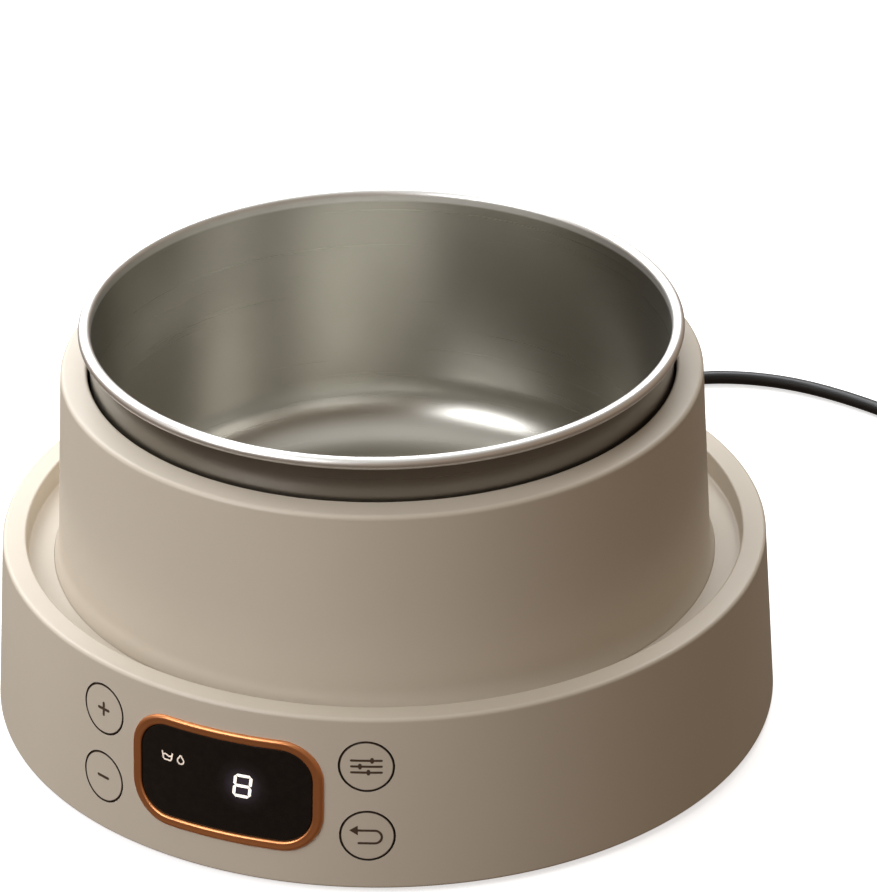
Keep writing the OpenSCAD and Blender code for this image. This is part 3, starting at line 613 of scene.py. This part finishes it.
WALL = 2.4
base_low, base_high = box_mm("lower_housing")
BASE_R, BASE_Z, RIM_Z = 109.5, base_low.z, base_high.z
RIM_R, RIM_IN_R, GROOVE_R, FLOOR_Z = 106.3, 99.8, 99.5, 45.3
BASE_ROUND, RIM_ROUND, RIM_IN_ROUND, GROOVE_ROUND = 0.8, 1.1, 0.6, 0.6
SEAT_IN_R = 83.6
drum_low, drum_high = box_mm("upper_housing")
DRUM_R, DRUM_TOP_R, DRUM_TOP_Z = 91, 88.1, 102.1
SEAT_Z, LIP_R, LIP_Z = drum_low.z, 80.8, 102.8
FOOT_EDGE_R, FOOT_EDGE_Z = drum_high.x, FLOOR_Z + 0.3
COVE_R = 18
DRUM_TOP_ROUND, LIP_ROUND = 1.3, 0.7
pot_low, pot_high = box_mm("inner_pot")
SHEET, BEAD_R, POT_CORNER = 0.6, 1.7, 18
POT_R = pot_high.x - 2 * BEAD_R
BEAD_Z = pot_high.z - BEAD_R


def wall_r(z):
    """Radius of the lower tier's outer wall at height z."""
    return BASE_R - (BASE_R - RIM_R) * (z - BASE_Z) / (RIM_Z - BASE_Z)


def base_section():
    """Skirt, raised ring, channel floor and the drum's seat."""
    under, top, ring_wall_r = FLOOR_Z - WALL, RIM_Z - WALL, RIM_IN_R + 2
    seat_r = FOOT_EDGE_R + 0.1
    return rounded([(BASE_R, BASE_Z, BASE_ROUND), (RIM_R, RIM_Z, RIM_ROUND),
                    (RIM_IN_R, RIM_Z, RIM_IN_ROUND), (GROOVE_R, FLOOR_Z, GROOVE_ROUND),
                    (seat_r, FLOOR_Z, 0), (seat_r, SEAT_Z, 0), (SEAT_IN_R, SEAT_Z, 0),
                    (SEAT_IN_R, under, 0), (ring_wall_r, under, 0), (ring_wall_r, top, 0),
                    (wall_r(top) - WALL, top, 0), (BASE_R - WALL, BASE_Z, 0)])


def drum_section():
    """Foot, cove, wall and turned-in lip."""
    slant = Vector((DRUM_R - DRUM_TOP_R, FLOOR_Z - DRUM_TOP_Z)).normalized()
    cove_top = Vector((DRUM_R - (DRUM_R - DRUM_TOP_R) * (RIM_Z - FLOOR_Z) / (DRUM_TOP_Z - FLOOR_Z), RIM_Z))
    cove_mid = cove_top + COVE_R * Vector((-slant.y, slant.x))
    low = math.degrees(math.asin((cove_mid.y - FOOT_EDGE_Z) / COVE_R))
    high = math.degrees(math.asin((cove_mid.y - cove_top.y) / COVE_R))
    cove = [(x, z, 0) for x, z in arc(cove_mid, COVE_R, 180 + low, 180 + high, 12)]
    under = LIP_Z - WALL
    inner_r = DRUM_R - WALL + 0.1
    return rounded([(inner_r, SEAT_Z, 0), (FOOT_EDGE_R, SEAT_Z, 0)] + cove
                   + [(cove_top.x - 0.03, cove_top.y + 0.5, 0), (DRUM_TOP_R, DRUM_TOP_Z, DRUM_TOP_ROUND),
                      (LIP_R, LIP_Z, LIP_ROUND), (LIP_R, under, 0), (inner_r - 2.6, under, 0)])


def pot_section():
    """Sheet cup with a rounded floor corner and a rolled rim."""
    out_r, in_z, out_z = POT_R + SHEET, pot_low.z + SHEET, pot_low.z
    wall_end = BEAD_Z - 3
    bead_mid = (POT_R + BEAD_R, BEAD_Z)
    curl_end = -180 + math.degrees(math.acos((bead_mid[0] - out_r) / BEAD_R))
    floor = rounded([(0, in_z, 0), (POT_R, in_z, POT_CORNER), (POT_R, wall_end, 0)], 20, 1)
    under = rounded([(out_r, wall_end, 0), (out_r, out_z, POT_CORNER + SHEET), (0, out_z, 0)], 20, 1)
    return floor + arc(bead_mid, BEAD_R, 180, curl_end, 30) + under


def make_pot():
    """Satin steel inside; outside and below, the same steel painted darker as painted shade."""
    pot = plain_object("pot", revolve(pot_section(), 256, False), "pot", "pot_outside_painted_shade")
    # Faces turned outwards or downwards take the darker steel, the painted shade
    for side in pot.data.polygons:
        outward = side.normal.x * side.center.x + side.normal.y * side.center.y > 0
        side.material_index = int(outward or side.normal.z < -0.5)
    attach(pot, "pot", "steel", "inner_pot")


def well_section():
    """Cup round the pot, with a flange under the drum's lip."""
    low, high = box_mm("heating_well")
    sheet, corner, in_r = 0.8, 12, 81.4
    out_r, flange_z = in_r + sheet, high.z - sheet
    inside = rounded([(0, low.z + sheet, 0), (in_r, low.z + sheet, corner), (in_r, high.z, 0)], 14, 1)
    outside = rounded([(high.x, high.z, 0), (high.x, flange_z, 0), (out_r, flange_z, 0),
                       (out_r, low.z, corner + sheet), (0, low.z, 0)], 14, 1)
    return inside + outside


def rod(radius, start, end, segments):
    """Closed cylinder along Z."""
    return revolve([(0, start), (radius, start), (radius, end), (0, end)], segments, False)


def bar(name, look, radius, start, end, place):
    """Round cutter along -Y, put where place says."""
    made = plain_object(name, rod(radius, start, end, 72), look)
    made.data.transform(place @ Matrix.Rotation(math.radians(90), 4, "X"))
    return made


def moved(x, y, z):
    return Matrix.Translation((x * MM, y * MM, z * MM))


# ---------------------------------------------------------------- panel

trim_low, trim_high = box_mm("display_bezel")
PANEL_Z = (trim_low.z + trim_high.z) / 2
TRIM_W, TRIM_H, TRIM_CORNER, TRIM_BAND, TRIM_PROUD = 55.3, trim_high.z - trim_low.z, 11.5, 2.75, 0.9
LENS_PROUD, LENS_T, LENS_GAP = 0.3, 1.6, 0.08
PRINT_OUT, PRINT_T, PRINT_PITCH = 0.02, 0.05, 0.7
KEY_ANGLE, KEY_D, KEY_GAP = math.radians(20.9), 14.2, 0.4
KEYS = {"plus": -1, "minus": -1, "menu": 1, "cancel": 1}


def key_z(key):
    low, high = box_mm("key_" + key)
    return (low.z + high.z) / 2


def on_wall(u, z, out, angle=0.0):
    """Point u across and z up on the part of the wall that faces an angle from the front, out from it."""
    y = -math.sqrt((wall_r(z) + out) ** 2 - u * u)
    return (u * math.cos(angle) - y * math.sin(angle), u * math.sin(angle) + y * math.cos(angle), z)


def trim_outline(inset, steps=12, across=16, up=6):
    """Points round the display's rounded rectangle drawn in by an inset, always as many."""
    w, h, r = TRIM_W / 2 - inset, TRIM_H / 2 - inset, TRIM_CORNER - inset
    points = []
    for quarter, (x, y) in enumerate(((1, 1), (-1, 1), (-1, -1), (1, -1))):
        bend = arc((x * (w - r), y * (h - r)), r, 90 * quarter, 90 * quarter + 90, steps)
        points += bend
        start = Vector(bend[-1])
        if quarter % 2:
            end, count = Vector((start.x, -start.y)), up
        else:
            end, count = Vector((-start.x, start.y)), across
        points += [tuple(start.lerp(end, k / count)) for k in range(1, count)]
    return points


def trim_rings(rows, closed):
    """Rows (inset, scale, out) of the display's outline, laid on the wall."""
    outlines = {inset: trim_outline(inset) for inset, _, _ in rows}

    def point(row, k):
        inset, scale, out = row
        u, v = outlines[inset][k]
        return on_wall(u * scale, PANEL_Z + v * scale, out)
    return rings(point, rows, len(trim_outline(0)), closed)


def trim_section():
    """Band with round shoulders and a shallow hollow between them, as (inset, out)."""
    outer_r, inner_r, foot_inset, foot_out = 0.8, 0.65, 1.95, -1.5
    outer = arc((outer_r, TRIM_PROUD - outer_r), outer_r, 180, 90, 8)
    inner = arc((TRIM_BAND - inner_r, TRIM_PROUD - 0.7), inner_r, 90, 0, 8)
    hollow = [(1.2, TRIM_PROUD - 0.04), (1.6, TRIM_PROUD - 0.08)]
    foot = [(TRIM_BAND, foot_out), (foot_inset, foot_out), (foot_inset, 0)]
    return [(0, 0)] + outer + hollow + inner + foot


def make_display():
    rows = [(inset, 1, out) for inset, out in trim_section()]
    piece("display_trim", trim_rings(rows, True), "copper", "housing", "copper_trim", "display_bezel")
    edge, back = TRIM_BAND + LENS_GAP, LENS_PROUD - LENS_T
    # The back, the side with its rounded edge, then the face drawn in to its middle
    rows = [(edge, 0, back), (edge, 1, back), (edge, 1, LENS_PROUD - 0.3),
            (edge + 0.09, 1, LENS_PROUD - 0.09), (edge + 0.3, 1, LENS_PROUD)]
    rows += [(edge + 0.6, k / 10, LENS_PROUD) for k in range(10, -1, -1)]
    piece("display_window", trim_rings(rows, False), "gloss_black", "housing", "display_black",
          "display_lens")


def stroke(path, widths, out, angle=0.0):
    """Raised print along a path of (u, z) on the wall; widths is one width, or one for each point."""
    if not hasattr(widths, "__len__"):
        widths = [widths] * len(path)
    stations = []
    for (a, wa), (b, wb) in zip(zip(path, widths), zip(path[1:], widths[1:])):
        a, b = Vector(a), Vector(b)
        count = max(1, math.ceil((b - a).length / PRINT_PITCH))
        stations += [(a.lerp(b, k / count), wa + (wb - wa) * k / count) for k in range(count)]
    stations.append((Vector(path[-1]), widths[-1]))

    def point(row, k):
        here, width = stations[row]
        ahead = stations[min(row + 1, len(stations) - 1)][0] - stations[max(row - 1, 0)][0]
        side = Vector((-ahead.y, ahead.x)).normalized() * width / 2
        u, z = here + side * (1 if k in (0, 3) else -1)
        return on_wall(u, z, out - (PRINT_T if k < 2 else 0), angle)
    vertices, faces = rings(point, range(len(stations)), 4, False)
    last = len(vertices) - 4
    return vertices, faces + [[0, 1, 2, 3], [last + 3, last + 2, last + 1, last]]


def bar_path(u0, z0, u1, z1, width):
    """Path and widths of a straight bar with rounded ends."""
    a, b = Vector((u0, z0)), Vector((u1, z1))
    along = (b - a).normalized() * width / 2
    path = [a, a + along * 0.3, a + along, b - along, b - along * 0.3, b]
    return path, [width * share for share in (0.3, 0.75, 1, 1, 0.75, 0.3)]


# Widths of the printed lines: of the menu and cancel signs, of plus and minus, of the sliders' knobs
LINE_W, BOLD_W, KNOB_W = 0.65, 0.85, 0.95


def key_strokes(key, z):
    """Sign printed on a key with its middle at height z: plus, minus, three sliders for the menu, and a
    turned-back arrow to cancel."""
    angle = KEYS[key] * KEY_ANGLE

    def line(u0, v0, u1, v1, width=LINE_W):
        path, widths = bar_path(u0, z + v0, u1, z + v1, width)
        return stroke(path, widths, PRINT_OUT, angle)
    if key == "plus":
        return joined(line(-2.25, 0, 2.25, 0, BOLD_W), line(0, -2.15, 0, 2.15, BOLD_W))
    if key == "minus":
        return line(-2.25, 0, 2.25, 0, BOLD_W)
    if key == "menu":
        rows = ((1.75, 1.5), (0, -1.7), (-1.75, 0.5))
        bars = [line(-4.3, v, 4.3, v) for v, _ in rows]
        knobs = [line(u, v - 0.85, u, v + 0.85, KNOB_W) for v, u in rows]
        return joined(*bars, *knobs)
    bend = [(u, z + v) for u, v in arc((1.9, -0.35), 1.9, 90, -90, 14)]
    path = [(-3.2, z + 1.55)] + bend + [(-2.6, z - 2.25)]
    head = stroke([(-4.7, z + 1.55), (-2.5, z + 1.55)], [0.1, 2.9], PRINT_OUT, angle)
    return joined(stroke(path, LINE_W, PRINT_OUT, angle), head)


def digit(u, z, half_w, half_h, thick, lean):
    """Lit seven-segment figure 8, leaning to the right."""
    corners = [(-1, 1), (1, 1), (1, 0), (1, -1), (-1, -1), (-1, 0)]
    places = [(u + half_w * x + lean * half_h * y, z + half_h * y) for x, y in corners]
    gap = 0.12
    parts = []
    for a, b in ((0, 1), (1, 2), (2, 3), (3, 4), (4, 5), (5, 0), (2, 5)):
        start, end = Vector(places[a]), Vector(places[b])
        along = (end - start).normalized()
        start, end = start + along * gap, end - along * gap
        path = [start, start + along * thick / 2, end - along * thick / 2, end]
        parts.append(stroke(path, [0.1, thick, thick, 0.1], LENS_PROUD + PRINT_OUT))
    return joined(*parts)


def bowl_sign(u, z):
    """Lit sign beside the figure: a small cup and a drop."""
    width = 0.42
    out = LENS_PROUD + PRINT_OUT
    cup = [(-1.6, 1.15), (-1.25, -0.75), (-0.95, -1.15), (0.95, -1.15), (1.25, -0.75), (1.6, 1.15)]
    drop = [(0, 1.35)] + arc((0, -0.3), 0.95, 50, -230, 14) + [(0, 1.35)]
    waves = [(-1.4, 0.25), (-0.5, 0.5), (0.5, 0), (1.4, 0.25)]
    cup_u, drop_u = u - 1.75, u + 2.4
    return joined(*(stroke([(at + x, z + y) for x, y in path], width, out)
                    for at, path in ((cup_u, cup), (cup_u, waves), (drop_u, drop))))


def make_base():
    """Lower tier with its openings for the display, the keys and the cord."""
    base = plain_object("base_shell", revolve(base_section(), 360), "cream")
    # The key holes start inside the wall, clear of the channel floor
    front, back = RIM_IN_R + 3.2, BASE_R + 2
    holes = [bar("hole_" + key, "gap", KEY_D / 2 + KEY_GAP, front, back,
                 Matrix.Rotation(side * KEY_ANGLE, 4, "Z") @ moved(0, 0, key_z(key)))
             for key, side in KEYS.items()]
    opening = plain_object("opening", trim_prism(1.8), "cream")
    # Negative distances lie at the back
    outlet = bar("outlet", "cream", OUTLET_R, -115, -100, moved(0, 0, OUTLET_Z))
    cut(base, *holes, opening, outlet, *screw_holes())
    attach(base, "housing", "housing", "lower_housing")


def screw_holes():
    """Cutters for the screws that hold the drum, through its seat."""
    geometry = rod(SCREW_HOLE_R, FLOOR_Z - WALL - 1, SEAT_Z + 1, 32)
    made = []
    for k in range(SCREW_COUNT):
        a = math.radians(FIRST_SCREW + 360 / SCREW_COUNT * k)
        hole = plain_object("screw_hole", geometry, "cream")
        hole.data.transform(moved(SCREW_CIRCLE_R * math.cos(a), SCREW_CIRCLE_R * math.sin(a), 0))
        made.append(hole)
    return made


def trim_prism(inset):
    """Block through the wall with the display's outline."""
    outline = trim_outline(inset)

    def point(y, k):
        u, v = outline[k]
        return (u, -y, PANEL_Z + v) if y > 0 else (0, y, PANEL_Z)
    inside, outside = 16, 6
    near, far = wall_r(PANEL_Z) - inside, wall_r(PANEL_Z) + outside
    return rings(point, (-near, near, far, -far), len(outline), False)


relief_low, relief_high = box_mm("strain_relief")
OUTLET_Z, OUTLET_R = (relief_low.z + relief_high.z) / 2, 4.6
SCREW_COUNT, FIRST_SCREW, SCREW_CIRCLE_R, SCREW_HOLE_R = 6, 30, 86, 1.5

make_base()
piece("drum_shell", revolve(drum_section(), 360), "cream", "housing", "housing", "upper_housing")
make_pot()
piece("well", revolve(well_section(), 192, False), "well", "housing", "well_metal", "heating_well")
make_display()
piece("display_figure", digit(*FIGURE, 2.2, 3.05, 0.85, 0.1), "lit", "housing", "sleeve_white")
piece("display_sign", bowl_sign(-14.8, 32.25), "lit_dim", "housing", "sleeve_white")
for key, side in KEYS.items():
    piece("print_" + key, key_strokes(key, key_z(key)), "ink", key + "_key", "inner_black")
    cream = ringed_cream("cream_" + key, side * KEY_ANGLE, key_z(key))
    nodes["key_" + key].data.materials[0] = cream

# ---------------------------------------------------------------- strain relief, plug and tie


def relief_section():
    """Flange inside the wall, neck through it, collar outside and a grooved taper, as (radius, y)."""
    low, high = relief_low.y, relief_high.y
    flange_r, neck_r, collar_r, narrowing = 6.4, 4.5, 5.8, 1.4
    collar = wall_r(OUTLET_Z - collar_r) + 0.1
    start, pitch, depth, steps = collar + 6, 3.4, 0.6, 12
    body = rounded([(0, low, 0), (flange_r, low, 0.3), (flange_r, low + 1.8, 0), (neck_r, low + 1.8, 0),
                    (neck_r, collar, 0), (collar_r, collar, 0.4), (collar_r, collar + 2.4, 0.7),
                    (4.6, collar + 3.6, 0), (neck_r, start, 0)], 5, 0.1)
    ribs = int((high - 2.5 - start) / pitch)
    taper = []
    for k in range(1, ribs * steps + 1):
        y = start + pitch * k / steps
        groove = depth * max(0, math.sin(math.tau * k / steps)) ** 0.6
        taper.append((neck_r - narrowing * (y - start) / (high - start) - groove, y))
    return body + taper + [(3, high - 0.5), (2.8, high - 0.1), (2.5, high), (0, high)]


def make_relief():
    made = plain_object("cord_relief", revolve(relief_section(), 64, False), "cord")
    made.data.transform(moved(0, 0, OUTLET_Z) @ Matrix.Rotation(math.radians(-90), 4, "X"))
    smooth(made, 50)
    attach(made, "housing", "cord_rubber", "strain_relief")
    return made


def make_plug():
    """Moulded plug: a ringed taper that swells into a body with finger hollows."""
    low, high = box_mm("plug_body")
    mid_x, mid_z = (low.x + high.x) / 2, (low.z + high.z) / 2
    w, h = (high.x - low.x) / 2, (high.z - low.z) / 2
    # Distance from the cord's end, half width, half height, squareness (2 is an ellipse)
    spine = [(0, 0, 0, 2), (0, 2.6, 2.6, 2), (0.6, 2.9, 2.9, 2)]
    for k in range(1, 25):
        y = 0.6 + k * 0.75
        r = 2.9 + 0.075 * y - 0.45 * max(0, math.sin(k * math.pi / 2.5))
        spine.append((y, r, r, 2))
    spine += [(19.6, 5.0, 4.9, 2.2), (21, 6.2, 5.4, 2.6), (25, 9.6, 6.2, 3.2), (29, 11.6, 6.7, 3.6),
              (33, 11.9, 6.85, 4), (37, 11.2, 6.7, 4), (41, 10.9, 6.6, 4), (45, 11.3, 6.75, 4),
              (49, w - 0.1, h, 4), (50.4, w - 0.1, h, 4), (51.4, w - 0.6, h - 0.5, 4),
              (51.9, w - 1.6, h - 1.5, 4), (52, w - 2.6, h - 2.4, 4), (52, 0, 0, 2)]
    count = 64

    def point(row, k):
        y, half_w, half_h, square = row
        a = math.tau * k / count
        c, s = math.cos(a), math.sin(a)
        x = math.copysign(abs(c) ** (2 / square), c) * half_w
        z = math.copysign(abs(s) ** (2 / square), s) * half_h
        return mid_x + x, high.y - y, mid_z + z
    return piece("plug", rings(point, spine, count, False), "cord", "housing", "cord_rubber", "plug_body")


relief = make_relief()
plug = make_plug()
bevel = nodes["coil_tie"].modifiers.new("soft_edges", "BEVEL")
bevel.width, bevel.segments = 0.25 * MM, 3
